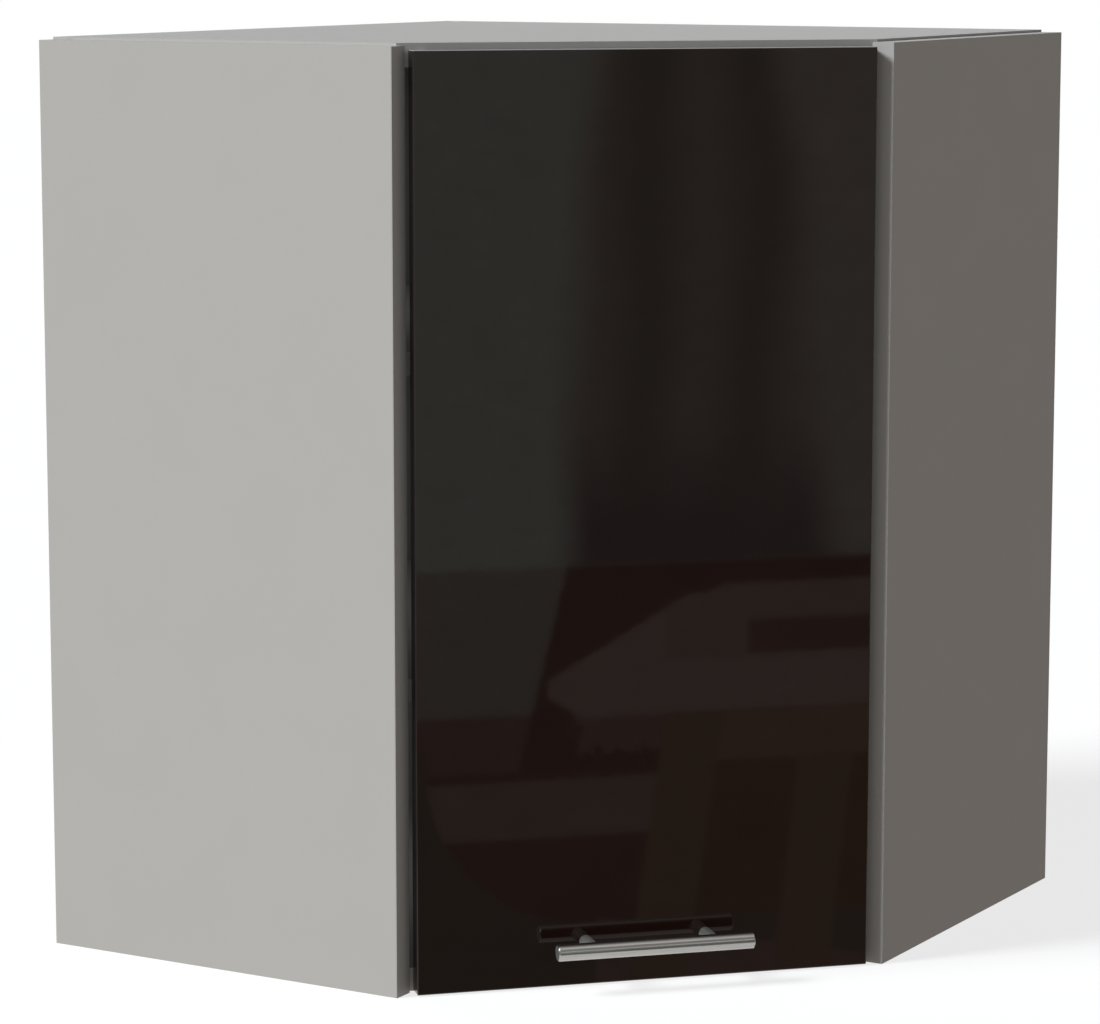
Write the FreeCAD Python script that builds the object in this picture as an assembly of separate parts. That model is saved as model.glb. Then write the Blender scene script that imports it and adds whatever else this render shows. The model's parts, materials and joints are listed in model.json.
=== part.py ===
import FreeCAD, Part
import math
import os
from FreeCAD import Vector

# Corner wall cabinet with one diagonal door. Millimetres, +Z up.
# Row frame: origin at the foot of the room corner, where both walls meet the cabinet's underside;
# the door faces -Y and +X is to the right of someone who looks at the door.

os.makedirs("parts", exist_ok=True)

# ---------------------------------------------------------------- carcass
footprint = 600.0             # outer length along each wall
side_height = 720.0
side_depth = 324.0            # side panel from the wall to its front edge, edge band included
board = 18.0                  # laminated board of sides, decks and shelves
edge_band = 1.0               # band glued on every visible front edge
top_proud = 2.0               # the top panel stands this much above the side panels
bottom_compartment = 207.0    # clear height between the bottom panel and the lower shelf
middle_compartment = 231.0    # clear height between the two shelves
shelf_side_gap = 1.0
shelf_back_gap = 2.0
shelf_recess = 2.0            # shelf front edge behind the front edge of the decks

# ---------------------------------------------------------------- back panels and corner post
back_thickness = 3.0
back_recess = 16.0            # wall to the rear face of a back panel
groove_depth = 8.0
groove_play = 0.1             # each side of a back panel in its groove
back_end_play = 0.5           # back panel edge to the groove bottom
post_wall_gap = 12.0          # wall to the outer faces of the corner post
post_leg = 34.0               # width of a post leg along the wall
post_lip = 10.0               # thickness of the post at the end of a leg

# ---------------------------------------------------------------- door
door_thickness = 16.0
door_proud = 1.5              # door face in front of the line between the side panels' outer corners
door_edge_radius = 1.0
hinge_gap = 0.8               # door edge to the right side panel
latch_gap = 3.0               # door edge to the left side panel
door_floor_gap = 1.2          # door's lower edge above the underside
door_head_gap = 2.8           # door's upper edge below the top of the side panels
buffer_radius = 4.0
buffer_height = 3.2
buffer_edge_radius = 1.0
buffer_play = 0.3             # buffer to deck edge with the door closed
buffer_inset = 12.0           # buffer centre to the door's free edge

# ---------------------------------------------------------------- handle
bar_radius = 6.5
bar_length = 156.0
bar_chamfer = 0.7
bar_reach = 29.0              # door face to the bar's axis
bar_rise = 34.0               # door's lower edge to the bar's axis
post_spacing = 96.0
handle_post_radius = 5.0
handle_screw_radius = 2.0
handle_screw_grip = 14.0      # thread length inside a handle post
handle_screw_head_radius = 4.0
handle_screw_head = 2.5
handle_hole_play = 0.5        # screw in the door's through hole

# ---------------------------------------------------------------- concealed hinge with one pin in its cup
hinge_inset = 100.0           # hinge centre to the door's upper or lower edge
pin_edge = 8.0                # pin axis to the door's hinge-side edge
pin_depth = 6.7               # pin axis behind the door's face
pin_radius = 1.1
pin_play = 0.05
eye_radius = 2.2
eye_half_width = 5.0
cup_radius = 17.5
cup_edge = 3.0                # door edge to the cup bore
cup_depth = 12.5
cup_wall = 1.0
cup_floor = 0.8
cup_fit = 0.05
ear_half_width = 2.8          # cup lugs that hold the pin
ear_gap = 0.3                 # lug to the arm's eye
flange_thickness = 1.2
flange_rim = 2.0              # flange beyond the cup bore
wing_half_width = 5.5
cup_screw_spacing = 48.0
cup_screw_offset = 6.0        # cup screws further from the door edge than the cup centre
cup_screw_radius = 1.75
cup_screw_length = 12.0
cup_screw_head_radius = 3.6
cup_screw_head = 1.8
neck_thickness = 2.6          # strip of the arm that bends into the cup
neck_sweep_gap = 0.5          # door corner's sweep to the neck
arm_half_width = 8.0
arm_wall = 1.6
arm_height = 8.0
arm_start = 3.0               # arm from the side panel's front inner corner
arm_length = 66.0
arm_nose = 9.6                # solid stretch at the arm's front end
plate_thickness = 3.0
plate_half_height = 26.0
plate_depth = 24.0
plate_corner_radius = 4.0
pad_setback = 12.0            # rail pad behind the arm's front end
screw_line = 37.0             # fixing holes behind the side panel's front edge
plate_screw_spacing = 32.0
euro_screw_radius = 2.5
euro_screw_length = 11.0
euro_head_radius = 3.8
euro_head = 1.8
arm_screw_radius = 2.0
arm_screw_head_radius = 3.6
arm_screw_head = 2.0
arm_screw_line = 29.0         # first arm screw behind the side panel's front edge
arm_screw_spacing = 22.0

# ---------------------------------------------------------------- slots and crosses in screw heads
recess_rim = 1.2              # end of the slot to the rim of the head
recess_width = 1.0
recess_depth = 0.9

# ---------------------------------------------------------------- shelf supports
support_pin_radius = 2.45
support_hole_radius = 2.5
support_pin_length = 8.0
support_hole_depth = 10.0
support_width = 10.0
support_seat = 9.0            # how far the seat reaches under the shelf
support_seat_thickness = 3.0
support_plate = 2.0
support_drop = 12.0           # height of the support plate
support_axis_drop = 6.0       # pin axis below the shelf
support_web = 2.0             # thickness of the rib under the seat
support_web_inset = 1.0       # rib from the rims of seat and plate
row_pitch = 32.0              # adjusting holes above and below each pin
rear_row = 60.0               # rear hole row from the wall

# ---------------------------------------------------------------- carcass fittings
cam_radius = 7.4
cam_bore_radius = 7.5
cam_height = 12.6
cam_drop = 0.4                # cam's face below the face of the deck
cam_bore_depth = 13.4
cam_cross_reach = 4.4
cam_cross_width = 1.6
cam_cross_depth = 1.6
cam_setback = 34.0            # cam centre to the end of the deck
cam_slot = 2.1
cam_seat_radius = 3.3
cam_seat_play = 1.0           # room before and behind the bolt's head
bolt_thread_radius = 2.45
bolt_thread_length = 11.0
bolt_shank_radius = 3.4
bolt_bore_radius = 3.5
bolt_neck_radius = 1.7
bolt_head_radius = 2.8
bolt_head = 2.5
cam_rear_row = 60.0           # from the wall
cam_front_row = 74.0          # from the side panel's front edge
dowel_radius = 4.0
dowel_length = 30.0
dowel_in_side = 11.0
dowel_rear_row = 105.0        # from the wall
dowel_front_row = 119.0       # from the side panel's front edge
post_screw_radius = 2.0
post_screw_length = 45.0
post_screw_head_radius = 4.0

# ---------------------------------------------------------------- cabinet hangers
hanger_thickness = 18.0
hanger_depth = 62.0
hanger_height = 60.0
hanger_top_gap = 4.0          # housing below the top panel
hanger_edge_radius = 2.0
hook_thickness = 3.0
hook_offset = 7.0             # hook plate from the side panel
hook_stop = 8.0               # hook's end behind the housing's front
hook_bar = 8.0                # height of the hook's bar
hook_bar_drop = 12.0          # top panel's underside to the hook's upper edge
hook_play = 0.3
lip_thickness = 3.0
lip_wall_gap = 1.0
lip_drop = 14.0
wall_plate_width = 44.0
wall_plate_edge = 4.0         # wall plate from the side panel's inner face
wall_plate_thickness = 2.0
wall_plate_height = 46.0
wall_plate_stand = 6.5        # flange face from the wall
wall_plate_flange = 16.0
wall_hole_radius = 3.25
wall_hole_spacing = 24.0
wall_hole_rise = 13.0
notch_width = 24.0            # back panel cut away beside the side panel for the hanger
notch_height = 66.0
hanger_screw_radius = 2.0
hanger_screw_length = 12.0    # thread in the side panel
hanger_screw_head_radius = 3.5
hanger_screw_head = 1.6
hanger_screw_inset = 12.0     # two lower screws from the housing's front and rear
hanger_screw_rise = 9.0
hanger_middle_screw_inset = 30.0
hanger_middle_screw_rise = 26.0
adjuster_head_radius = 4.0
adjuster_head = 2.5
adjuster_radius = 2.5
adjuster_drop = 26.0          # second adjuster below the first

# ---------------------------------------------------------------- worked-out places
diagonal = math.sqrt(0.5)
past = 1.0                                                 # a cutting tool runs this far past a face
same = 1e-3                                                # two places this near are one
inner = footprint - board                                  # wall frame: inner face of a side panel
front_line = -(footprint + side_depth) * diagonal          # row y of the side panels' outer front corners
half_front = (footprint - side_depth) * diagonal           # row x of those corners
corner_x = half_front - board * diagonal                   # inner front corner of a side panel
corner_y = front_line + board * diagonal
deck_setback = door_thickness - door_proud + buffer_height + buffer_play
shelf_setback = deck_setback + shelf_recess
top_level = side_height + top_proud
top_underside = top_level - board
lower_shelf_level = board + bottom_compartment
upper_shelf_level = lower_shelf_level + board + middle_compartment
back_front = back_recess + back_thickness                  # wall to the inner face of a back panel
post_face = 2 * post_wall_gap + post_leg + post_lip        # u + v of the post's slanted face
cam_rows = (cam_rear_row, side_depth - cam_front_row)
dowel_rows = (dowel_rear_row, side_depth - dowel_front_row)
support_rows = (rear_row, side_depth - screw_line)

door_right = corner_x - hinge_gap
door_left = -corner_x + latch_gap
door_face = front_line - door_proud
door_back = door_face + door_thickness
door_low = door_floor_gap
door_high = side_height - door_head_gap
door_middle = (door_left + door_right) / 2
hinge_levels = {"lower": door_low + hinge_inset, "upper": door_high - hinge_inset}

pin_x = door_right - pin_edge
pin_y = door_face + pin_depth
cup_x = door_right - cup_edge - cup_radius
cup_bottom = door_back - cup_depth


# ---------------------------------------------------------------- small tools
def block(x0, x1, y0, y1, z0, z1):
    return Part.makeBox(x1 - x0, y1 - y0, z1 - z0, Vector(x0, y0, z0))


def prism(points, z0, z1):
    outline = [Vector(x, y, z0) for x, y in points]
    return Part.Face(Part.makePolygon(outline + outline[:1])).extrude(Vector(0, 0, z1 - z0))


def rod(radius, start, end):
    start, end = Vector(*start), Vector(*end)
    return Part.makeCylinder(radius, (end - start).Length, start, end - start)


def fused(shapes):
    whole = shapes[0]
    for shape in shapes[1:]:
        whole = whole.fuse(shape)
    return whole.removeSplitter()


def group(shapes):
    return Part.makeCompound(shapes)


def to_row(shape):
    """From the wall frame, with x along the right wall and -y along the left wall, to the row frame."""
    turned = shape.copy()
    turned.rotate(Vector(0, 0, 0), Vector(0, 0, 1), -45)
    return turned


def mirrored(shape):
    return shape.mirror(Vector(0, 0, 0), Vector(1, 0, 0))


def both(shape):
    """A right-hand shape in the row frame and its left-hand twin."""
    return [shape, mirrored(shape)]


def on_right_side(shape):
    """From the frame of the right side panel's inner face (x into the cabinet's depth from the front
    inner corner, y away from the panel) to the row frame."""
    turned = shape.copy()
    turned.rotate(Vector(0, 0, 0), Vector(0, 0, 1), 45)
    turned.translate(Vector(corner_x, corner_y, 0))
    return turned


def with_holes(body, fasteners):
    for fastener in fasteners:
        body = body.cut(fastener)
    return body


def round_edges(shape, radius, wanted):
    """Fillet the edges for which wanted(edge) holds."""
    return shape.makeFillet(radius, [edge for edge in shape.Edges if wanted(edge)])


def runs_along(edge, direction):
    """True for a straight edge of a block or prism that is parallel to the direction."""
    step = edge.Vertexes[-1].Point - edge.Vertexes[0].Point
    return step.cross(direction).Length < same


def screw_head(radius, height, x, seat, z, cross=True):
    """Head on the plane y = seat with a slot or a cross in its top; a negative height faces -Y."""
    top = seat + height
    depth = sorted((top, top - math.copysign(recess_depth, height)))
    reach, half = radius - recess_rim, recess_width / 2
    head = rod(radius, (x, seat, z), (x, top, z)).cut(block(x - reach, x + reach, *depth, z - half, z + half))
    if cross:
        head = head.cut(block(x - half, x + half, *depth, z - reach, z + reach))
    return head


# ---------------------------------------------------------------- decks and shelves
def five_sided(side_gap, wall_gap, setback, corner_cut, z0, z1):
    """Board with two wall edges, two side edges and a diagonal front edge, in the wall frame."""
    end = inner - side_gap
    front = footprint + side_depth - setback / diagonal
    rear = [(wall_gap, -wall_gap)]
    if corner_cut:
        rear = [(wall_gap, wall_gap - corner_cut), (corner_cut - wall_gap, -wall_gap)]
    return prism(rear + [(end, -wall_gap), (end, end - front), (front - end, -end), (wall_gap, -end)], z0, z1)


def front_strip(side_gap, setback, z0, z1):
    """Edge band on the diagonal front edge of a deck or shelf, in the wall frame."""
    end = inner - side_gap
    outer = footprint + side_depth - setback / diagonal
    glued = outer - edge_band / diagonal
    return prism([(end, end - outer), (outer - end, -end), (glued - end, -end), (end, end - glued)], z0, z1)


def fitting_cuts(z_axis, cam_open, away):
    """Cam, bolt and dowel holes at the right end of a deck, in the wall frame.
    cam_open is the deck's inner face and away is +1 when the cam drops down into it."""
    cuts = []
    for row in cam_rows:
        cam_x = inner - cam_setback
        mouth, bottom = cam_open, cam_open - away * cam_bore_depth
        cuts.append(rod(cam_bore_radius, (cam_x, -row, mouth), (cam_x, -row, bottom)))
        cuts.append(rod(bolt_bore_radius, (cam_x, -row, z_axis), (inner, -row, z_axis)))
    for row in dowel_rows:
        reach = dowel_length - dowel_in_side
        cuts.append(rod(dowel_radius, (inner - reach, -row, z_axis), (inner, -row, z_axis)))
    return cuts


def deck(low, inner_face, away):
    """Bottom or top panel: grooves for the backs, holes for the fittings and for the post screw."""
    z_axis = low + board / 2
    panel = to_row(five_sided(0, 0, deck_setback + edge_band, 0, low, low + board))
    groove = sorted((inner_face, inner_face - away * groove_depth))
    slot = block(post_wall_gap + post_leg - groove_depth, inner, -back_front - groove_play,
                 -back_recess + groove_play, *groove)
    for cut in [slot] + fitting_cuts(z_axis, inner_face, away):
        for side in both(to_row(cut)):
            panel = panel.cut(side)
    return with_holes(panel, post_screws())


def shelf(level):
    cut = post_face + shelf_back_gap / diagonal
    return to_row(five_sided(shelf_side_gap, back_front + shelf_back_gap,
                             shelf_setback + edge_band, cut, level, level + board))


# ---------------------------------------------------------------- side panels
def side_hole(radius, depth, row, level):
    return rod(radius, (inner, -row, level), (inner + depth, -row, level))


def support_levels(shelf_level):
    axis = shelf_level - support_axis_drop
    return [axis - row_pitch, axis, axis + row_pitch]


def side_panel():
    """Right side panel in the row frame, with every blind hole on its inner face."""
    panel = block(inner, footprint, -side_depth + edge_band, 0, 0, side_height)
    cuts = [block(inner, inner + groove_depth, -back_front - groove_play,
                  -back_recess + groove_play, 0, side_height)]
    for level in (board / 2, top_underside + board / 2):
        for row in cam_rows:
            cuts.append(side_hole(bolt_thread_radius, bolt_thread_length, row, level))
        for row in dowel_rows:
            cuts.append(side_hole(dowel_radius, dowel_in_side, row, level))
    for shelf_level in (lower_shelf_level, upper_shelf_level):
        for level in support_levels(shelf_level):
            for row in support_rows:
                cuts.append(side_hole(support_hole_radius, support_hole_depth, row, level))
    return to_row(with_holes(panel, cuts))


def side_edge_band():
    return to_row(block(inner, footprint, -side_depth, -side_depth + edge_band, 0, side_height))


# ---------------------------------------------------------------- backs and corner post
def back_panel():
    """Right back panel: stands in the grooves of decks, side and corner post."""
    start = post_wall_gap + post_leg - groove_depth + back_end_play
    end = inner + groove_depth - back_end_play
    low = board - groove_depth + back_end_play
    high = top_underside + groove_depth - back_end_play
    panel = block(start, end, -back_front, -back_recess, low, high)
    notch = block(inner - notch_width, end, -back_front, -back_recess, top_underside - notch_height, high)
    return to_row(panel.cut(notch))


def corner_post():
    near, leg = post_wall_gap, post_wall_gap + post_leg
    lip = post_wall_gap + post_lip
    post = prism([(near, -near), (near, -leg), (lip, -leg), (leg, -lip), (leg, -near)], board, top_underside)
    post = to_row(post)
    slot = block(leg - groove_depth, leg, -back_front - groove_play, -back_recess + groove_play,
                 board, top_underside)
    for side in both(to_row(slot)):
        post = post.cut(side)
    holes = post_screws()
    face = -post_face * diagonal
    for shelf_level in (lower_shelf_level, upper_shelf_level):
        for level in support_levels(shelf_level):
            holes.append(rod(support_hole_radius, (0, face, level), (0, face + support_hole_depth, level)))
    return with_holes(post, holes)


def post_screws():
    """Countersunk screws through the decks into the post, on the cabinet's centre plane."""
    y = -(post_face + 2 * post_wall_gap) / 2 * diagonal
    head = post_screw_head_radius - post_screw_radius
    screws = []
    for outer_face, inward in ((0, 1), (top_level, -1)):
        cone = Part.makeCone(post_screw_head_radius, post_screw_radius, head,
                             Vector(0, y, outer_face), Vector(0, 0, inward))
        tip = outer_face + inward * post_screw_length
        screws.append(fused([cone, rod(post_screw_radius, (0, y, outer_face + inward * head), (0, y, tip))]))
    return screws


# ---------------------------------------------------------------- shelf supports
def support(x, y, level, angle):
    """One shelf support whose pin enters the face behind it; angle turns its seat out of that face."""
    half, web_half = support_width / 2, support_web / 2
    under = level - support_seat_thickness
    foot = level - support_drop
    web_tip, web_foot = support_seat - support_web_inset, foot + support_web_inset
    pieces = [
        rod(support_pin_radius, (-support_pin_length, 0, level - support_axis_drop),
            (0, 0, level - support_axis_drop)),
        block(0, support_plate, -half, half, foot, level),
        block(0, support_seat, -half, half, under, level),
    ]
    web = [Vector(x, -web_half, z) for x, z in (
        (support_plate, web_foot), (support_plate, under), (web_tip, under), (support_plate, web_foot))]
    pieces.append(Part.Face(Part.makePolygon(web)).extrude(Vector(0, support_web, 0)))
    piece = fused(pieces)
    piece.rotate(Vector(0, 0, 0), Vector(0, 0, 1), angle)
    piece.translate(Vector(x, y, 0))
    return piece


def shelf_supports(level):
    sides = []
    for row in support_rows:
        sides += both(to_row(support(inner, -row, level, 180)))
    return group(sides + [support(0, -post_face * diagonal, level, -90)])


# ---------------------------------------------------------------- cams, bolts and dowels
def cam(row, z_axis, inner_face, away):
    """Cam disc under the deck's inner face, with the bolt's seat and a cross for the screwdriver."""
    x = inner - cam_setback
    top = inner_face - away * cam_drop
    disc = rod(cam_radius, (x, -row, top), (x, -row, top - away * cam_height))
    seat_end = x + bolt_head + cam_seat_play
    cuts = [rod(cam_slot, (x, -row, z_axis), (x + cam_bore_radius, -row, z_axis)),
            rod(cam_seat_radius, (x - cam_seat_play, -row, z_axis), (seat_end, -row, z_axis))]
    depth = sorted((top, top - away * cam_cross_depth))
    half = cam_cross_width / 2
    for dx, dy in ((cam_cross_reach, half), (half, cam_cross_reach)):
        cuts.append(block(x - dx, x + dx, -row - dy, -row + dy, *depth))
    return to_row(with_holes(disc, cuts))


def cam_bolt(row, z_axis):
    x = inner - cam_setback
    rim = x + cam_bore_radius
    return to_row(fused([
        rod(bolt_head_radius, (x, -row, z_axis), (x + bolt_head, -row, z_axis)),
        rod(bolt_neck_radius, (x + bolt_head, -row, z_axis), (rim, -row, z_axis)),
        rod(bolt_shank_radius, (rim, -row, z_axis), (inner, -row, z_axis)),
        rod(bolt_thread_radius, (inner, -row, z_axis), (inner + bolt_thread_length, -row, z_axis)),
    ]))


def dowel(row, z_axis):
    start = inner + dowel_in_side - dowel_length
    return to_row(rod(dowel_radius, (start, -row, z_axis), (start + dowel_length, -row, z_axis)))


# ---------------------------------------------------------------- cabinet hangers
hanger_top = top_underside - hanger_top_gap
hanger_low = hanger_top - hanger_height
hook_top = top_underside - hook_bar_drop
hook_low = hook_top - hook_bar
housing_front = back_front + hanger_depth
hook_end = housing_front - hook_stop
hook_x = inner - hook_offset
hanger_screw_places = (
    (back_front + hanger_screw_inset, hanger_low + hanger_screw_rise),
    (housing_front - hanger_screw_inset, hanger_low + hanger_screw_rise),
    (back_front + hanger_middle_screw_inset, hanger_low + hanger_middle_screw_rise),
)


def hanger_screws():
    """Fixing screws through the right housing into the side panel."""
    screws = []
    for depth, level in hanger_screw_places:
        face = inner - hanger_thickness
        screws.append(to_row(fused([
            rod(hanger_screw_head_radius, (face - hanger_screw_head, -depth, level), (face, -depth, level)),
            rod(hanger_screw_radius, (face, -depth, level), (inner + hanger_screw_length, -depth, level)),
        ])))
    return screws


def adjusters():
    """Depth and height adjusting screws in the front of the right housing."""
    screws = []
    for level in (hook_low + hook_bar / 2, hook_low + hook_bar / 2 - adjuster_drop):
        x = hook_x - hook_thickness / 2
        head = screw_head(adjuster_head_radius, -adjuster_head, x, -housing_front, level)
        shank = rod(adjuster_radius, (x, -housing_front, level), (x, -hook_end - hook_play, level))
        screws.append(to_row(fused([head, shank])))
    return screws


def hanger_housing():
    front, rear = -housing_front, -back_front
    shell = block(inner - hanger_thickness, inner, front, rear, hanger_low, hanger_top)
    shell = round_edges(shell, hanger_edge_radius, lambda edge:
                        edge.CenterOfMass.x < inner - same and edge.CenterOfMass.y < rear - same)
    shell = shell.cut(block(hook_x - hook_thickness - hook_play, hook_x + hook_play, -hook_end - hook_play,
                            rear, hook_low - hook_play, hook_top + hook_play))
    shell = to_row(shell)
    return with_holes(shell, hanger_screws() + adjusters())


def hanger_hook():
    x0, x1 = hook_x - hook_thickness, hook_x
    bar = block(x0, x1, -hook_end, -lip_wall_gap, hook_low, hook_top)
    lip = block(x0, x1, -lip_wall_gap - lip_thickness, -lip_wall_gap, hook_low - lip_drop, hook_top)
    return to_row(fused([bar, lip]))


def wall_plate():
    x1 = inner - wall_plate_edge
    x0 = x1 - wall_plate_width
    top = hook_low
    shelf_low = top - wall_plate_flange
    foot = top - wall_plate_height
    plate = fused([
        block(x0, x1, -wall_plate_thickness, 0, foot, shelf_low + wall_plate_thickness),
        block(x0, x1, -wall_plate_stand, 0, shelf_low, shelf_low + wall_plate_thickness),
        block(x0, x1, -wall_plate_stand, wall_plate_thickness - wall_plate_stand, shelf_low, top),
    ])
    middle = (x0 + x1) / 2
    for x in (middle - wall_hole_spacing / 2, middle + wall_hole_spacing / 2):
        level = foot + wall_hole_rise
        plate = plate.cut(rod(wall_hole_radius, (x, -wall_plate_stand, level), (x, past, level)))
    return to_row(plate)


# ---------------------------------------------------------------- hinges
def hinge_pin(level):
    reach = math.sqrt((cup_radius - cup_wall) ** 2 - (pin_x + pin_radius - cup_x) ** 2)
    return rod(pin_radius, (pin_x, pin_y, level - reach), (pin_x, pin_y, level + reach))


def cup_screw_points(level):
    x = cup_x - cup_screw_offset
    return [(x, level - cup_screw_spacing / 2), (x, level + cup_screw_spacing / 2)]


def cup_screws(level):
    screws = []
    seat = door_back + flange_thickness
    for x, z in cup_screw_points(level):
        head = screw_head(cup_screw_head_radius, cup_screw_head, x, seat, z)
        screws.append(fused([head, rod(cup_screw_radius, (x, seat, z), (x, seat - cup_screw_length, z))]))
    return screws


def hinge_cup(level):
    outer = cup_radius - cup_fit
    seat = door_back + flange_thickness
    cup = rod(outer, (cup_x, cup_bottom, level), (cup_x, seat, level))
    flange = rod(cup_radius + flange_rim, (cup_x, door_back, level), (cup_x, seat, level))
    pieces = [cup, flange]
    for x, z in cup_screw_points(level):
        pieces.append(rod(wing_half_width, (x, door_back, z), (x, seat, z)))
    wing_x = cup_x - cup_screw_offset
    pieces.append(block(wing_x - wing_half_width, wing_x + wing_half_width, door_back, seat,
                        level - cup_screw_spacing / 2, level + cup_screw_spacing / 2))
    body = fused(pieces)
    body = body.cut(rod(cup_radius - cup_wall, (cup_x, cup_bottom + cup_floor, level), (cup_x, seat, level)))
    near, far = eye_half_width + ear_gap, cup_radius
    ears = [block(pin_x - ear_half_width, cup_x + cup_radius, cup_bottom, pin_y + ear_half_width, *span)
            for span in ((level - far, level - near), (level + near, level + far))]
    body = fused([body] + [ear.common(rod(outer, (cup_x, cup_bottom, level), (cup_x, seat, level)))
                           for ear in ears])
    return with_holes(body, [hinge_pin(level)] + cup_screws(level))


def neck_outline():
    """Plan of the strip that bends from the pin out of the cup and back to the side panel."""
    sweep = math.hypot(pin_edge - cup_edge + flange_rim, door_back + flange_thickness - pin_y)
    far = max(sweep, math.hypot(pin_edge, door_back - pin_y)) + neck_sweep_gap
    left = pin_x - far - neck_thickness
    low = pin_y - neck_thickness / 2
    high = pin_y + far
    right = corner_x - eye_radius
    return [(pin_x, low), (left, low), (left, high + neck_thickness), (right, high + neck_thickness),
            (right, high), (left + neck_thickness, high), (left + neck_thickness, low + neck_thickness),
            (pin_x, low + neck_thickness)]


def arm_screws(level):
    screws = []
    top = plate_thickness + arm_height
    for x in (arm_screw_line, arm_screw_line + arm_screw_spacing):
        head = screw_head(arm_screw_head_radius, arm_screw_head, x, top, level, cross=False)
        shank = rod(arm_screw_radius, (x, 0, level), (x, top, level))
        screws.append(on_right_side(fused([head, shank])))
    return screws


def hinge_arm(level):
    outline = neck_outline()
    neck = prism(outline, level - eye_half_width, level + eye_half_width)
    bends = [outline[1], outline[2]]
    neck = round_edges(neck, neck_thickness, lambda edge: runs_along(edge, Vector(0, 0, 1)) and any(
        math.hypot(edge.CenterOfMass.x - x, edge.CenterOfMass.y - y) < same for x, y in bends))
    eye = rod(eye_radius, (pin_x, pin_y, level - eye_half_width), (pin_x, pin_y, level + eye_half_width))
    low, high = plate_thickness, plate_thickness + arm_height
    rail = block(arm_start, arm_start + arm_length, low, high, level - arm_half_width, level + arm_half_width)
    rail = rail.cut(block(arm_start + arm_nose, arm_start + arm_length, low, high - arm_wall,
                          level - arm_half_width + arm_wall, level + arm_half_width - arm_wall))
    bore = rod(pin_radius + pin_play, (pin_x, pin_y, level - cup_radius), (pin_x, pin_y, level + cup_radius))
    return with_holes(fused([neck, eye, on_right_side(rail)]), [bore] + arm_screws(level))


def plate_screws(level):
    screws = []
    for z in (level - plate_screw_spacing / 2, level + plate_screw_spacing / 2):
        head = screw_head(euro_head_radius, euro_head, screw_line, plate_thickness, z)
        shank = rod(euro_screw_radius, (screw_line, -euro_screw_length, z), (screw_line, plate_thickness, z))
        screws.append(on_right_side(fused([head, shank])))
    return screws


def hinge_plate(level):
    """Mounting plate: a tall wing for the fixing screws and a rail pad under the arm."""
    half = plate_depth / 2
    wing = block(screw_line - half, screw_line + half, 0, plate_thickness,
                 level - plate_half_height, level + plate_half_height)
    wing = round_edges(wing, plate_corner_radius, lambda edge: runs_along(edge, Vector(0, 1, 0)))
    pad = block(arm_start + pad_setback, arm_start + arm_length, 0, plate_thickness,
                level - arm_half_width, level + arm_half_width)
    plate = on_right_side(fused([wing, pad]))
    return with_holes(plate, plate_screws(level) + arm_screws(level))


# ---------------------------------------------------------------- door and handle
bar_y = door_face - bar_reach
bar_z = door_low + bar_rise
handle_post_places = (door_middle - post_spacing / 2, door_middle + post_spacing / 2)


def handle_screws():
    screws = []
    for x in handle_post_places:
        head = screw_head(handle_screw_head_radius, handle_screw_head, x, door_back, bar_z)
        shank = rod(handle_screw_radius, (x, door_face - handle_screw_grip, bar_z), (x, door_back, bar_z))
        screws.append(fused([head, shank]))
    return screws


def handle_bar():
    start, end = door_middle - bar_length / 2, door_middle + bar_length / 2
    bar = rod(bar_radius, (start, bar_y, bar_z), (end, bar_y, bar_z))
    return bar.makeChamfer(bar_chamfer, [edge for edge in bar.Edges if edge.Closed])


def handle_posts():
    posts = []
    bar = rod(bar_radius, (door_left, bar_y, bar_z), (door_right, bar_y, bar_z))
    for x in handle_post_places:
        post = rod(handle_post_radius, (x, door_face, bar_z), (x, bar_y, bar_z)).cut(bar)
        posts.append(with_holes(post, handle_screws()))
    return group(posts)


def door_panel():
    panel = block(door_left, door_right, door_face, door_back, door_low, door_high)
    panel = panel.makeFillet(door_edge_radius, panel.Edges)
    cuts = []
    for level in hinge_levels.values():
        cuts.append(rod(cup_radius, (cup_x, cup_bottom, level), (cup_x, door_back + past, level)))
        cuts += cup_screws(level)
    hole = handle_screw_radius + handle_hole_play
    for x in handle_post_places:
        cuts.append(rod(hole, (x, door_face - past, bar_z), (x, door_back + past, bar_z)))
    return with_holes(panel, cuts)


def door_buffers():
    x = door_left + buffer_inset
    pieces = []
    for z in (board / 2, door_high - buffer_radius - door_edge_radius - buffer_play):
        disc = rod(buffer_radius, (x, door_back, z), (x, door_back + buffer_height, z))
        pieces.append(round_edges(disc, buffer_edge_radius, lambda edge:
                                  edge.Closed and edge.CenterOfMass.y > door_back + same))
    return group(pieces)


# ---------------------------------------------------------------- assembly
nodes = {}

hinge_side_screws = []
for level in hinge_levels.values():
    hinge_side_screws += plate_screws(level)

right_side = with_holes(side_panel(), hanger_screws())
nodes["left_side_panel"] = mirrored(right_side)
nodes["right_side_panel"] = with_holes(right_side, hinge_side_screws)
nodes["right_side_edge_band"] = side_edge_band()
nodes["left_side_edge_band"] = mirrored(side_edge_band())

nodes["bottom_panel"] = deck(0, board, 1)
nodes["top_panel"] = deck(top_underside, top_underside, -1)
nodes["lower_shelf"] = shelf(lower_shelf_level)
nodes["upper_shelf"] = shelf(upper_shelf_level)
for name, gap, setback, low in (
    ("bottom_edge_band", 0, deck_setback, 0),
    ("top_edge_band", 0, deck_setback, top_underside),
    ("lower_shelf_edge_band", shelf_side_gap, shelf_setback, lower_shelf_level),
    ("upper_shelf_edge_band", shelf_side_gap, shelf_setback, upper_shelf_level),
):
    nodes[name] = to_row(front_strip(gap, setback, low, low + board))

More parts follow.
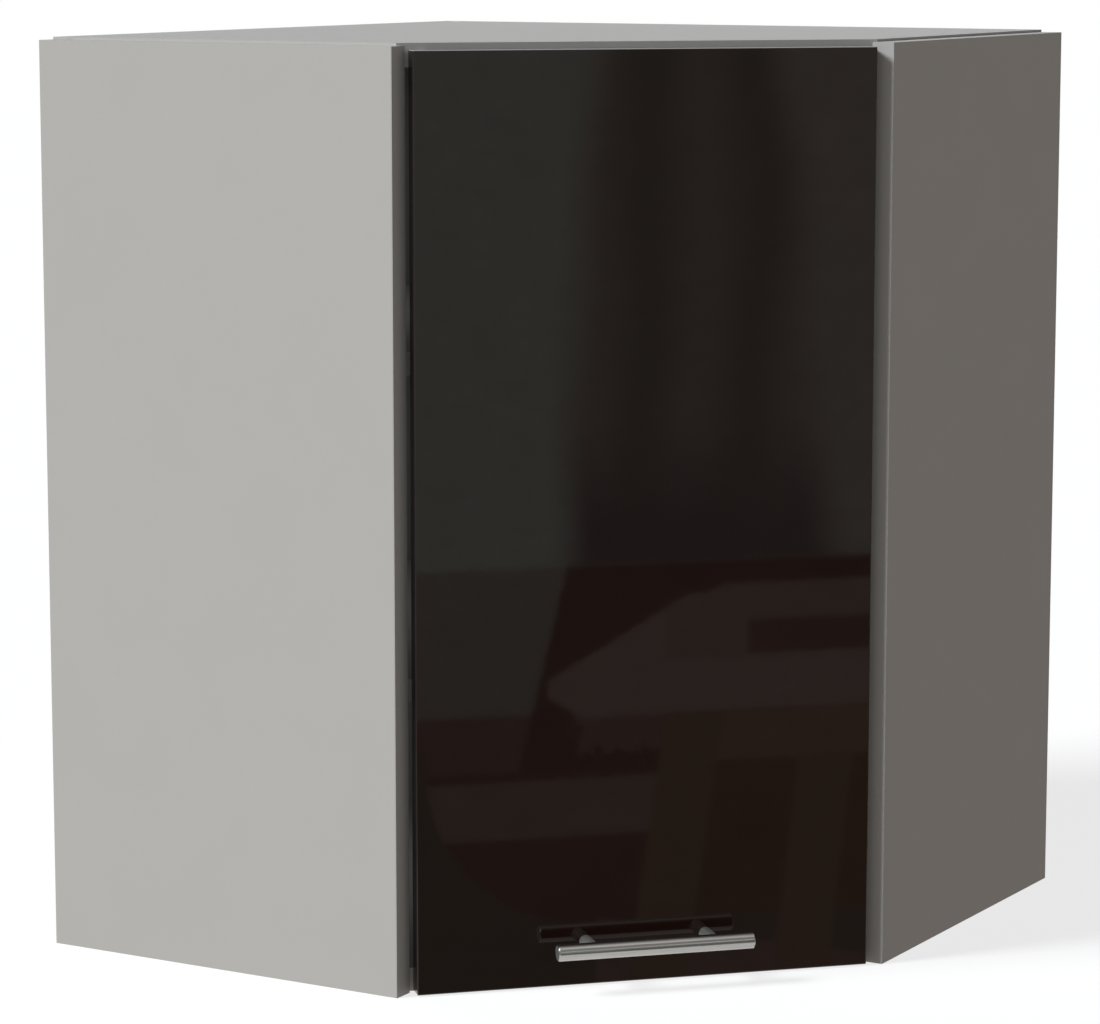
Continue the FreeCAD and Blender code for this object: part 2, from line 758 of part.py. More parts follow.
nodes["right_back_panel"] = back_panel()
nodes["left_back_panel"] = mirrored(back_panel())
nodes["rear_corner_post"] = corner_post()
nodes["corner_post_screws"] = group(post_screws())

nodes["lower_shelf_supports"] = shelf_supports(lower_shelf_level)
nodes["upper_shelf_supports"] = shelf_supports(upper_shelf_level)

for place, z_axis, face, away in (
    ("bottom", board / 2, board, 1),
    ("top", top_underside + board / 2, top_underside, -1),
):
    cams, bolts, dowels = [], [], []
    for row in cam_rows:
        cams += both(cam(row, z_axis, face, away))
        bolts += both(cam_bolt(row, z_axis))
    for row in dowel_rows:
        dowels += both(dowel(row, z_axis))
    nodes[place + "_cam_discs"] = group(cams)
    nodes[place + "_cam_bolts"] = group(bolts)
    nodes[place + "_dowels"] = group(dowels)

for name, shape in (
    ("hanger_housing", hanger_housing()),
    ("hanger_hook", hanger_hook()),
    ("wall_plate", wall_plate()),
    ("hanger_fixing_screws", group(hanger_screws())),
    ("hanger_adjusting_screws", group(adjusters())),
):
    nodes["right_" + name] = shape
    nodes["left_" + name] = mirrored(shape)

for place, level in hinge_levels.items():
    nodes[place + "_hinge_plate"] = hinge_plate(level)
    nodes[place + "_hinge_plate_screws"] = group(plate_screws(level))
    nodes[place + "_hinge_arm"] = hinge_arm(level)
    nodes[place + "_hinge_arm_screws"] = group(arm_screws(level))
    nodes[place + "_hinge_cup"] = hinge_cup(level)
    nodes[place + "_hinge_pin"] = hinge_pin(level)
    nodes[place + "_hinge_cup_screws"] = group(cup_screws(level))

nodes["door_panel"] = door_panel()
nodes["handle_bar"] = handle_bar()
nodes["handle_posts"] = handle_posts()
nodes["handle_screws"] = group(handle_screws())
nodes["door_buffers"] = door_buffers()

for name, shape in nodes.items():
    shape.exportStep("parts/" + name + ".step")
    print(name, len(shape.Solids), shape.isValid(), round(shape.Volume, 1))
print("nodes", len(nodes), "hinge axis", round(pin_x, 3), round(pin_y, 3))
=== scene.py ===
import json
import math

import bpy
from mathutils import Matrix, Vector

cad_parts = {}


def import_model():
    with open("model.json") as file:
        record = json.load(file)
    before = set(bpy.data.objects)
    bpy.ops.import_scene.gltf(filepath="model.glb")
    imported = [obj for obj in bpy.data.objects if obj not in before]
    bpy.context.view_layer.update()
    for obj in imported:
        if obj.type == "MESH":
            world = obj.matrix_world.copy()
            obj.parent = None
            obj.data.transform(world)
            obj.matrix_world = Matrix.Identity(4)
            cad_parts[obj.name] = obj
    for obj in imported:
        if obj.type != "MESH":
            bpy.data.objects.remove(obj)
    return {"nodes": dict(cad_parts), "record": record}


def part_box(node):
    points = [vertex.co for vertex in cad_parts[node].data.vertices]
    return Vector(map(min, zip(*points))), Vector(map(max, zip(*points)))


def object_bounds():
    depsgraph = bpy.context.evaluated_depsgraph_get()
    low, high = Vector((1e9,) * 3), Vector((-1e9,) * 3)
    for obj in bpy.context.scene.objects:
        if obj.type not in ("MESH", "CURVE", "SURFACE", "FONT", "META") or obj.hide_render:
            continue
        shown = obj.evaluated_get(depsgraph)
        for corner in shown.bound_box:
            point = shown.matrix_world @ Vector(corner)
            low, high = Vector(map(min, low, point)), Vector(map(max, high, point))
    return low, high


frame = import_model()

# Looks of the corner wall cabinet. Metres, +Z up, the door faces -Y, the room corner is at the origin.

cad_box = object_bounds()

# ---------------------------------------------------------------- colours, as linear values
LAMINATE = (0.456, 0.449, 0.428)
# One plastic band on the front edges. Its colour is set darker as painted shade for the band slot, and
# lighter as painted light on the top and bottom panels.
EDGE_BAND_PAINTED_SHADE = (0.395, 0.393, 0.384)
DECK_BAND_PAINTED_LIGHT = (0.505, 0.502, 0.492)     # front bands of the top and bottom panels, made lighter than the other bands as painted light
CHIPBOARD = (0.44, 0.31, 0.19)
CHIPBOARD_DARK = (0.24, 0.15, 0.085)
HARDBOARD = (0.22, 0.125, 0.065)
HARDBOARD_PALE = tuple(1.7 * channel for channel in HARDBOARD)
DOOR_BROWN = (0.019, 0.0082, 0.0058)
DOOR_EDGE = (0.024, 0.018, 0.017)
# painted highlight: the light grey of the line on the door's upper arris
DOOR_ARRIS_PAINTED_HIGHLIGHT = (0.37, 0.365, 0.36)
STEEL = (0.42, 0.41, 0.395)
STEEL_POST = (0.21, 0.205, 0.20)
NICKEL = (0.60, 0.58, 0.54)
ZINC = (0.60, 0.62, 0.65)
WHITE_PLASTIC = (0.74, 0.74, 0.71)
BUFFER = (0.62, 0.62, 0.58)
BEECH = (0.56, 0.37, 0.20)
BEECH_DARK = (0.40, 0.24, 0.12)

# ---------------------------------------------------------------- numbers that several looks share
MM = 0.001
NOISE_SPAN = (0.3, 0.7)               # most values of a noise texture lie in this span
NOISE_CORE = (0.35, 0.65)             # a narrower span, for more contrast
PEARL_SIZE = 0.55 * MM                # grain of the laminated boards' surface
REAR_SHARE = 0.5                      # the normal of a face at a wall has more than this share of +Y
OUTWARD_SHARE = -0.1                  # and more than this share of the direction away from the middle
BAND_LENGTHWISE = (1.0, 1.0, 0.12)    # stretches a pattern along a band
POST_LENGTHWISE = (1.0, 1.0, 0.03)


# ---------------------------------------------------------------- node helpers
class Nodes:
    """A node tree and short calls that add nodes to it."""

    def __init__(self, tree):
        self.tree = tree

    def add(self, kind, settings=None, inputs=None):
        node = self.tree.nodes.new(kind)
        for key, value in (settings or {}).items():
            setattr(node, key, value)
        for key, value in (inputs or {}).items():
            self.put(node.inputs[key], value)
        return node

    def put(self, socket, value):
        """Links a socket to this one, or sets its value."""
        if isinstance(value, bpy.types.NodeSocket):
            self.tree.links.new(value, socket)
        elif isinstance(value, tuple) and len(value) == 3 and socket.type == "RGBA":
            socket.default_value = (*value, 1.0)
        else:
            socket.default_value = value

    def math(self, operation, first, second=0.0):
        return self.add("ShaderNodeMath", {"operation": operation}, {0: first, 1: second}).outputs[0]

    def raised(self, base, share, extra):
        """The base plus this share of extra."""
        return self.math("ADD", base, self.math("MULTIPLY", share, extra))

    def inverse(self, share):
        return self.math("SUBTRACT", 1.0, share)

    def mix(self, share, first, second):
        """The first colour at a share of 0 and the second at 1."""
        node = self.add("ShaderNodeMix", {"data_type": "RGBA"}, {0: share, 6: first, 7: second})
        return node.outputs[2]

    def blend(self, share, first, second):
        """The first number at a share of 0 and the second at 1."""
        node = self.add("ShaderNodeMix", {"data_type": "FLOAT"}, {0: share, 2: first, 3: second})
        return node.outputs[0]

    def tint(self, colour, factor):
        """The colour times the factor."""
        node = self.add("ShaderNodeVectorMath", {"operation": "SCALE"}, {0: colour, 3: factor})
        return node.outputs[0]

    def spread(self, value, low, high, to_low=0.0, to_high=1.0):
        """Takes the span from low to high to the one from to_low to to_high."""
        inputs = {0: value, 1: low, 2: high, 3: to_low, 4: to_high}
        return self.add("ShaderNodeMapRange", {}, inputs).outputs[0]

    def vary(self, noise, least, most, span=NOISE_SPAN):
        """A number from least to most that follows a noise."""
        return self.spread(noise, *span, least, most)

    def smooth(self, value, low, high):
        """0 below low, 1 above high, and a soft step between them."""
        settings = {"interpolation_type": "SMOOTHSTEP"}
        return self.add("ShaderNodeMapRange", settings, {0: value, 1: low, 2: high}).outputs[0]

    def emission(self, colour, strength=1.0):
        return self.add("ShaderNodeEmission", {}, {0: colour, 1: strength}).outputs[0]

    def seen(self, shown, lighting):
        """The shader shown for rays that come straight or by reflection or glass from the camera, and
        lighting for diffuse light."""
        path = self.add("ShaderNodeLightPath")
        rays = self.math("MAXIMUM", path.outputs["Is Camera Ray"], path.outputs["Is Glossy Ray"])
        rays = self.math("MAXIMUM", rays, path.outputs["Is Transmission Ray"])
        return self.add("ShaderNodeMixShader", {}, {0: rays, 1: lighting, 2: shown}).outputs[0]


class Shader(Nodes):
    """A material's node tree, with one Principled shader."""

    def __init__(self, name):
        self.material = bpy.data.materials.new(name)
        self.material.use_nodes = True
        super().__init__(self.material.node_tree)
        self.surface = self.tree.nodes["Principled BSDF"]
        self.places = self.add("ShaderNodeTexCoord")

    def set(self, **inputs):
        for key, value in inputs.items():
            self.put(self.surface.inputs[key.replace("_", " ")], value)

    def show(self, shader_output):
        """Ends the material in this output in place of the Principled shader. It isn't sampled as a lamp."""
        self.put(self.tree.nodes["Material Output"].inputs[0], shader_output)
        self.material.cycles.emission_sampling = "NONE"
        return self.material

    def scaled(self, factors):
        """Object coordinates, stretched along each axis."""
        node = self.add("ShaderNodeVectorMath", {"operation": "MULTIPLY"}, {0: self.places.outputs["Object"]})
        node.inputs[1].default_value = factors
        return node.outputs[0]

    def noise(self, size, detail=2.0, roughness=0.5, vector=None):
        """Noise whose features are about size metres wide."""
        node = self.add("ShaderNodeTexNoise", {}, {
            "Vector": vector or self.places.outputs["Object"],
            "Scale": 1.0 / size, "Detail": detail, "Roughness": roughness})
        return node.outputs["Fac"]

    def pearl(self):
        """The fine texture pressed into the laminated boards."""
        return self.noise(PEARL_SIZE, detail=3.0, roughness=0.6)

    def cells(self, size, vector):
        """Cells about size metres wide, each with its own colour."""
        node = self.add("ShaderNodeTexVoronoi", {}, {"Vector": vector, "Scale": 1.0 / size})
        return node.outputs["Color"]

    def bump(self, height, strength, distance):
        node = self.add("ShaderNodeBump", {}, {"Height": height, "Strength": strength, "Distance": distance})
        self.put(self.surface.inputs["Normal"], node.outputs[0])

    def axis_share(self, source, axis):
        return self.add("ShaderNodeSeparateXYZ", {}, {0: self.places.outputs[source]}).outputs[axis]

    def facing(self, axis):
        """The surface normal's share along an axis of the object: 0 for x, 1 for y, 2 for z."""
        return self.axis_share("Normal", axis)

    def place(self, axis):
        """The place along an axis of the object."""
        return self.axis_share("Object", axis)

    def sideways(self):
        """How far the surface faces left or right."""
        return self.math("ABSOLUTE", self.facing(0))

    def wall_side(self):
        """1 on the faces turned to the room's walls, 0 elsewhere."""
        outward = self.math("MULTIPLY", self.facing(0), self.math("SIGN", self.place(0)))
        rear = self.math("GREATER_THAN", self.facing(1), REAR_SHARE)
        outer = self.math("GREATER_THAN", outward, OUTWARD_SHARE)
        return self.math("MULTIPLY", rear, outer)


# ---------------------------------------------------------------- boards
LAMINATE_SPECULAR = 0.015
CRUMBS_SPAN = (0.05, 0.45)            # most values of the chipboard's pattern lie in this span
BAND_SPECULAR = 0.2
SCREEN_PITCH = 1.6 * MM               # distance between the lines pressed into the hardboard
WAVE_PERIOD = 0.31                    # about the distance between the texture's waves at a scale of 1
BACK_TURN = 45                        # degrees from the object's axes to the backs


def chipboard_colour(shader):
    """Raw chipboard's colour, and the crumbs that roughen it."""
    flakes = shader.cells(2.4 * MM, shader.scaled((1.0, 1.0, 1.7)))
    grey = shader.add("ShaderNodeRGBToBW", {}, {0: flakes}).outputs[0]
    crumbs = shader.math("MULTIPLY", grey, shader.noise(0.9 * MM, detail=4.0, roughness=0.7))
    return shader.mix(shader.spread(crumbs, *CRUMBS_SPAN), CHIPBOARD_DARK, CHIPBOARD), crumbs


def laminate():
    """Satin melamine board: pearl texture, faint clouding, raw chipboard on the edges at the walls."""
    shader = Shader("carcass_board")
    cloud = shader.vary(shader.noise(60 * MM, detail=3.0), 0.992, 1.008)
    pearl = shader.pearl()
    fleck = shader.vary(pearl, 0.985, 1.012, NOISE_CORE)
    face = shader.tint(LAMINATE, shader.math("MULTIPLY", cloud, fleck))
    core, crumbs = chipboard_colour(shader)
    raw = shader.wall_side()
    shader.set(Base_Color=shader.mix(raw, face, core),
               Roughness=shader.raised(shader.vary(pearl, 0.60, 0.72), raw, 0.2),
               Specular_IOR_Level=LAMINATE_SPECULAR)
    shader.bump(shader.blend(raw, pearl, crumbs), strength=shader.raised(0.10, raw, 0.5), distance=0.25 * MM)
    return shader.material


def edge_band(name, colour):
    """Thin plastic band: a smoother sheen than the board and fine marks along it."""
    shader = Shader(name)
    streaks = shader.noise(1.2 * MM, detail=3.0, roughness=0.6, vector=shader.scaled(BAND_LENGTHWISE))
    shader.set(Base_Color=shader.tint(colour, shader.vary(streaks, 0.975, 1.02)),
               Roughness=shader.vary(streaks, 0.40, 0.52), Specular_IOR_Level=BAND_SPECULAR)
    shader.bump(streaks, strength=0.08, distance=0.2 * MM)
    return shader.material


def back_board():
    """Hardboard: lacquered towards the shelves, brown with a pressed screen pattern towards the wall."""
    shader = Shader("back_board")
    rear = shader.wall_side()
    grain = shader.noise(0.8 * MM, detail=4.0, roughness=0.65)
    fibres = shader.noise(5 * MM, detail=4.0, roughness=0.7)
    brown = shader.mix(shader.vary(fibres, 0.0, 1.0), HARDBOARD, HARDBOARD_PALE)
    lacquer = shader.tint(LAMINATE, shader.vary(grain, 0.98, 1.015))
    along_backs = shader.add("ShaderNodeVectorRotate", {"rotation_type": "Z_AXIS"}, {
        "Vector": shader.places.outputs["Object"], "Angle": math.radians(BACK_TURN)}).outputs[0]
    waves = [shader.add("ShaderNodeTexWave", {"bands_direction": axis}, {
        "Vector": along_backs, "Scale": WAVE_PERIOD / SCREEN_PITCH}).outputs["Fac"] for axis in ("X", "Z")]
    screen = shader.math("MULTIPLY", shader.math("MULTIPLY", *waves), rear)
    shader.set(Base_Color=shader.mix(rear, lacquer, brown), Roughness=shader.raised(0.42, rear, 0.35))
    shader.bump(shader.raised(screen, grain, 0.3), strength=0.25, distance=0.3 * MM)
    return shader.material


def post_board():
    """Foil-wrapped profile: the board's grey with fine lines along its length."""
    shader = Shader("post_board")
    lines = shader.noise(0.9 * MM, detail=2.0, roughness=0.5, vector=shader.scaled(POST_LENGTHWISE))
    shader.set(Base_Color=shader.tint(LAMINATE, shader.vary(lines, 0.97, 1.02)),
               Roughness=shader.vary(lines, 0.38, 0.5))
    shader.bump(lines, strength=0.06, distance=0.2 * MM)
    return shader.material


# ---------------------------------------------------------------- door
DOOR_BACK_SHARE = 0.9                 # the normal of the door's back has more than this share of +Y
RIM_SHARES = (0.6, 0.95)              # sideways shares where the side edges begin and are full
ARRIS_HIGHLIGHT_BEGINS = (0.2, 0.6)             # upward shares of the painted highlight on the upper arris: a light grey line where the arris would catch the light
ARRIS_HIGHLIGHT_ENDS = (0.95, 0.99)
HAZE_SPAN = (0.3, 0.8)                # of the noise that makes the gloss hazy


def door_gloss():
    """Black-brown high gloss on the face and edges, satin grey board on the back, and a painted highlight: a
    light grey line along the upper arris.
    """
    shader = Shader("door_gloss")
    back = shader.math("GREATER_THAN", shader.facing(1), DOOR_BACK_SHARE)
    rim = shader.smooth(shader.sideways(), *RIM_SHARES)
    upward = shader.facing(2)
    # Painted highlight: the upper arris is coloured light grey, as though it caught the light.
    painted_arris_highlight = shader.math("SUBTRACT", shader.smooth(upward, *ARRIS_HIGHLIGHT_BEGINS), shader.smooth(upward, *ARRIS_HIGHLIGHT_ENDS))
    depth = shader.vary(shader.noise(90 * MM, detail=3.0), 0.94, 1.07)
    gloss = shader.tint(shader.mix(painted_arris_highlight, shader.mix(rim, DOOR_BROWN, DOOR_EDGE), DOOR_ARRIS_PAINTED_HIGHLIGHT), depth)
    pearl = shader.pearl()
    satin = shader.tint(LAMINATE, shader.vary(pearl, 0.985, 1.015))
    haze = shader.vary(shader.noise(35 * MM, detail=4.0, roughness=0.6), 0.02, 0.04, HAZE_SPAN)
    matt = shader.math("MAXIMUM", shader.math("MULTIPLY", back, 0.4), shader.math("MULTIPLY", rim, 0.12))
    shader.set(Base_Color=shader.mix(back, gloss, satin), Roughness=shader.math("ADD", haze, matt))
    peel = shader.noise(7 * MM, detail=2.0, roughness=0.4)
    shader.bump(shader.blend(back, peel, pearl), strength=shader.raised(0.012, back, 0.09),
                distance=0.25 * MM)
    return shader.material


# ---------------------------------------------------------------- metals
BRUSHED_SPREAD = 0.1                  # from the least roughness of a metal to its most
PLATED_SPREAD = 0.12
SAWN_SHARES = (0.90, 0.97)            # sideways shares where the sawn ends begin and are full
SAWN_ROUGHNESS = 0.27                 # added to the ends
BAR_GRAIN = (0.012, 1.0, 1.0)         # the grain of the bar lies along x, of the posts along y
POST_GRAIN = (1.0, 0.05, 1.0)
BAR_POLISH = 0.14
POST_POLISH = 0.58


def brushed_steel(name, colour, grain_axes, polish):
    """Stainless steel with sawn ends, brushed along the axis that grain_axes shrinks. Polish is its least
    roughness."""
    shader = Shader(name)
    fine = shader.noise(0.35 * MM, detail=3.0, roughness=0.7, vector=shader.scaled(grain_axes))
    broad = shader.noise(2.2 * MM, detail=2.0, roughness=0.5, vector=shader.scaled(grain_axes))
    grain = shader.raised(shader.math("MULTIPLY", fine, 0.6), broad, 0.4)
    brushed = shader.vary(grain, polish, polish + BRUSHED_SPREAD, NOISE_CORE)
    sawn = shader.smooth(shader.sideways(), *SAWN_SHARES)
    shader.set(Base_Color=shader.tint(colour, shader.vary(grain, 0.78, 1.12, NOISE_CORE)), Metallic=1.0,
               Roughness=shader.raised(brushed, sawn, SAWN_ROUGHNESS))
    shader.bump(grain, strength=0.15, distance=0.1 * MM)
    return shader.material


def metal(name, colour, polish, mottle, grain_size):
    """Plated metal: polish is its least roughness and mottle how much the plating clouds."""
    shader = Shader(name)
    cloud = shader.noise(grain_size, detail=4.0, roughness=0.6)
    shader.set(Base_Color=shader.tint(colour, shader.vary(cloud, 1.0 - mottle, 1.0 + mottle)), Metallic=1.0,
               Roughness=shader.vary(cloud, polish, polish + PLATED_SPREAD))
    shader.bump(shader.noise(0.6 * MM, detail=2.0), strength=0.05, distance=0.1 * MM)
    return shader.material


# ---------------------------------------------------------------- plastic, rubber and wood
MOULDED_SPREAD = 0.12                 # from the least roughness of a plastic to its most
DOWEL_ROUGHNESS = 0.6
PORES_SPAN = (0.4, 0.6)


def plastic(name, colour, sheen):
    """Moulded plastic with a fine spark-eroded texture. Sheen is its least roughness."""
    shader = Shader(name)
    skin = shader.noise(0.4 * MM, detail=3.0, roughness=0.7)
    shader.set(Base_Color=shader.tint(colour, shader.vary(shader.noise(20 * MM), 0.97, 1.02)),
               Roughness=shader.vary(skin, sheen, sheen + MOULDED_SPREAD))
    shader.bump(skin, strength=0.15, distance=0.1 * MM)
    return shader.material


def beech():
    """Turned beech dowel with short dark pores."""
    shader = Shader("dowel_wood")
    pores = shader.noise(0.7 * MM, detail=3.0, roughness=0.7, vector=shader.scaled((0.3, 0.3, 1.0)))
    shader.set(Base_Color=shader.mix(shader.spread(pores, *PORES_SPAN), BEECH_DARK, BEECH),
               Roughness=DOWEL_ROUGHNESS)
    shader.bump(pores, strength=0.2, distance=0.2 * MM)
    return shader.material


# ---------------------------------------------------------------- a material for every piece
materials = {
    "carcass_board": laminate(),
    "edge_band": edge_band("edge_band", EDGE_BAND_PAINTED_SHADE),
    "back_board": back_board(),
    "post_board": post_board(),
    "door_gloss": door_gloss(),
    "handle_steel": brushed_steel("handle_steel", STEEL, BAR_GRAIN, BAR_POLISH),
    "nickel_plated": metal("nickel_plated", NICKEL, polish=0.16, mottle=0.06, grain_size=9 * MM),
    "zinc_plated": metal("zinc_plated", ZINC, polish=0.30, mottle=0.12, grain_size=6 * MM),
    "fastener_steel": metal("fastener_steel", ZINC, polish=0.26, mottle=0.10, grain_size=3 * MM),
    "hanger_plastic": plastic("hanger_plastic", WHITE_PLASTIC, sheen=0.38),
    "buffer_rubber": plastic("buffer_rubber", BUFFER, sheen=0.22),
    "dowel_wood": beech(),
}
slot_of = {part["node"]: part["material_slot"] for part in frame["record"]["subparts"]}
for node_name, node_piece in frame["nodes"].items():
    node_piece.data.materials.clear()
    node_piece.data.materials.append(materials[slot_of[node_name]])

# Two looks that differ from their slot: front bands on the top and bottom panels made lighter as painted
# light, and duller posts under the bar.
deck_band_painted_light = edge_band("deck_band_painted_light", DECK_BAND_PAINTED_LIGHT)
post_steel = brushed_steel("post_steel", STEEL_POST, POST_GRAIN, POST_POLISH)
frame["nodes"]["top_edge_band"].data.materials[0] = deck_band_painted_light
frame["nodes"]["bottom_edge_band"].data.materials[0] = deck_band_painted_light
frame["nodes"]["handle_posts"].data.materials[0] = post_steel


# ---------------------------------------------------------------- stage: floor and world
def rectangle(name, corners, material):
    mesh = bpy.data.meshes.new(name)
    mesh.from_pydata(corners, [], [tuple(range(len(corners)))])
    mesh.materials.append(material)
    piece = bpy.data.objects.new(name, mesh)
    bpy.context.scene.collection.objects.link(piece)
    return piece


def level_rectangle(name, half_width, front, back, height, material):
    outline = [(-half_width, front), (half_width, front), (half_width, back), (-half_width, back)]
    return rectangle(name, [(*place, height) for place in outline], material)


WHITE = (1.0, 1.0, 1.0)
FLOOR_BOUNCE = (0.345, 0.302, 0.260)
FLOOR_GLOW = 0.77
FLOOR_SHADE = (0.26, 0.26, 0.26)
FLOOR_REACH = 14.0
SKY = (0.055, 0.046, 0.076)
SKY_LOW = (0.76, 0.765, 0.74)
SKY_AHEAD_SHARES = (0.3, 1.0)         # shares of a direction along y where the low light begins and is full
SKY_HIGH_SHARES = (0.25, 0.7)         # upward shares over which the low light fades


def floor_material():
    """White with the object's shadow where it is seen, and an even pale glow for diffuse light."""
    shader = Shader("floor")
    shade = shader.add("ShaderNodeBsdfDiffuse", {}, {0: FLOOR_SHADE}).outputs[0]
    pale = shader.add("ShaderNodeAddShader", {}, {0: shade, 1: shader.emission(WHITE, FLOOR_GLOW)}).outputs[0]
    return shader.show(shader.seen(pale, shader.emission(FLOOR_BOUNCE)))


floor_level = cad_box[0][2]
ground = level_rectangle("floor", FLOOR_REACH, -FLOOR_REACH, FLOOR_REACH, floor_level, floor_material())
ground.visible_glossy = False         # reflections show the white of the world and the cards instead


def world():
    """White where it is seen. Its diffuse light is weak, and stronger low down in front and behind."""
    scene_world = bpy.data.worlds.new("studio")
    scene_world.use_nodes = True
    nodes = Nodes(scene_world.node_tree)
    nodes.tree.nodes.clear()
    way = nodes.add("ShaderNodeSeparateXYZ", {}, {0: nodes.add("ShaderNodeTexCoord").outputs["Generated"]})
    ahead = nodes.smooth(nodes.math("ABSOLUTE", way.outputs[1]), *SKY_AHEAD_SHARES)
    low = nodes.inverse(nodes.smooth(way.outputs[2], *SKY_HIGH_SHARES))
    light = nodes.mix(nodes.math("MULTIPLY", ahead, low), SKY, SKY_LOW)
    sky = nodes.add("ShaderNodeBackground", {}, {0: light}).outputs[0]
    white = nodes.add("ShaderNodeBackground", {}, {0: WHITE}).outputs[0]
    nodes.add("ShaderNodeOutputWorld", {}, {0: nodes.seen(white, sky)})
    bpy.context.scene.world = scene_world


world()

# ---------------------------------------------------------------- stage: cards that only reflections see
# The cards in front, above and at both sides keep the gloss dark, as a dim room would. The one in front
# carries soft flat shapes: a pale field with upright folds, darker bands below it, and a low slab on two
# legs. Places on it are metres across from the middle and metres up from the cabinet's underside.
CARD_DISTANCE = 2.5
CARD_TOP = 3.0
CARD_FOOT = -0.62
CARD_HALF_WIDTH = 3.0
CARD_SOFT = 0.004                     # half the width of a soft outline
CEILING_FRONT = (0.98, 0.965, 0.95)
CEILING_BACK = (0.60, 0.59, 0.575)
CEILING_FRONT_END = -1.5              # y where the ceiling turns dim
CEILING_SOFT = 0.2
CEILING_BACK_END = 2.0

FIELD = (0.43, 0.50, 0.46)
FIELD_RIGHT = (0.355, 0.375, 0.34)
FIELD_STRIP = (0.95, 0.95, 0.95)
FIELD_STRIP_FOOT = 0.67
FIELD_STRIP_TOP = 0.92
FIELD_HIGH = (0.36, 0.355, 0.35)
FIELD_FOOT = (0.27, 0.30, 0.27)
FIELD_FOOT_TOP = 0.012

FOLD_DARK = (0.14, 0.18, 0.16)
FOLD_LIGHT = (0.24, 0.26, 0.25)
FOLD_LOW = (0.10, 0.135, 0.145)
FOLD_LOW_SPAN = (0.04, 0.22)          # heights over which the low tone gives way to the folds
FOLD_PITCH = 0.142
FOLD_WANDER = 0.03
FOLDS_START = 0.45
FOLDS_START_LEVEL = 0.45              # height at which the folds start there
FOLDS_END = 0.72
FOLDS_END_LEVEL = 0.55
FOLDS_LEAN_LEFT = 0.06                # the folds spread out low down
FOLDS_LEAN_RIGHT = -0.13
FOLDS_SOFT = 0.035
FOLDS_FOOT = (0.085, 0.065, 0.065)
FOLDS_FOOT_SPAN = (-0.250, 0.012)
FOLDS_FOOT_START = 0.43
FOLDS_FOOT_LEAN = 0.245
FOLDS_FOOT_LEVEL = 0.007

LOW_BACK = (0.185, 0.135, 0.13)
LOW_BACK_TOP = -0.175
LOW_FRONT = (0.10, 0.13, 0.11)
LOW_FRONT_TOP = -0.215
LOW_RIGHT = (0.22, 0.18, 0.17)
LOW_RIGHT_TOP = -0.443
LOW_RIGHT_RISE = -0.20
LOW_RIGHT_START = 0.47
OVAL_PALE = (0.24, 0.21, 0.18)
OVAL_PALE_SPAN = (-0.335, -0.260)
OVAL_DIM = (0.11, 0.08, 0.075)
OVAL_DIM_TOP = -0.248
OVAL_CENTRE = (0.47, -0.245)          # across and height, of the rounded corner of the bands
OVAL_SIZE = (0.22, 0.205)
OVAL_EDGE = (0.97, 1.03)

SLAB = (0.32, 0.275, 0.25)
SLAB_SPAN = (-0.183, -0.03)
SLAB_START = 0.406
SLAB_REAR_TOP = -0.100                # the slab's rear outline climbs to the right from here
SLAB_REAR_RISE = 0.56
SLAB_REAR_START = 0.465
SLAB_FRONT_TOP = -0.155               # and its front outline falls
SLAB_FRONT_RISE = -0.61
SLAB_EDGE = (0.24, 0.19, 0.155)
SLAB_EDGE_FOOT = -0.247
SLAB_EDGE_START = 0.562
UNDER_SLAB = (0.14, 0.11, 0.08)
UNDER_SLAB_SPAN = (-0.450, -0.236)
HEAP = (0.28, 0.24, 0.215)            # a low heap on the slab
HEAP_SPAN = (-0.112, 0.0)
HEAP_START = 0.56
HEAP_TOP = -0.018
HEAP_SLOPE_TOP = -0.051
HEAP_SLOPE_RISE = 0.42
HEAP_SHADE = (0.14, 0.11, 0.10)
HEAP_SHADE_SPAN = (-0.110, -0.066)
HEAP_SHADE_START = 0.67
FRAY = (0.215, 0.155, 0.15)           # the ragged patch that hangs from the slab's left end
FRAY_SPAN = (-0.228, -0.15)
FRAY_START = 0.440
FRAY_LEAN = -0.35
FRAY_LEVEL = -0.19
FRAY_REACH = 0.022
LEG = (0.205, 0.165, 0.125)
NEAR_LEG_TOP = -0.183
NEAR_LEG_SIDES = (0.562, 0.640)
NEAR_LEG_LEAN = 0.144
NEAR_LEG_LEVEL = -0.174
FAR_LEG_TOP = -0.247
FAR_LEG_SIDES = (0.738, 0.812)
FAR_LEG_LEAN = 0.108
FAR_LEG_LEVEL = -0.249


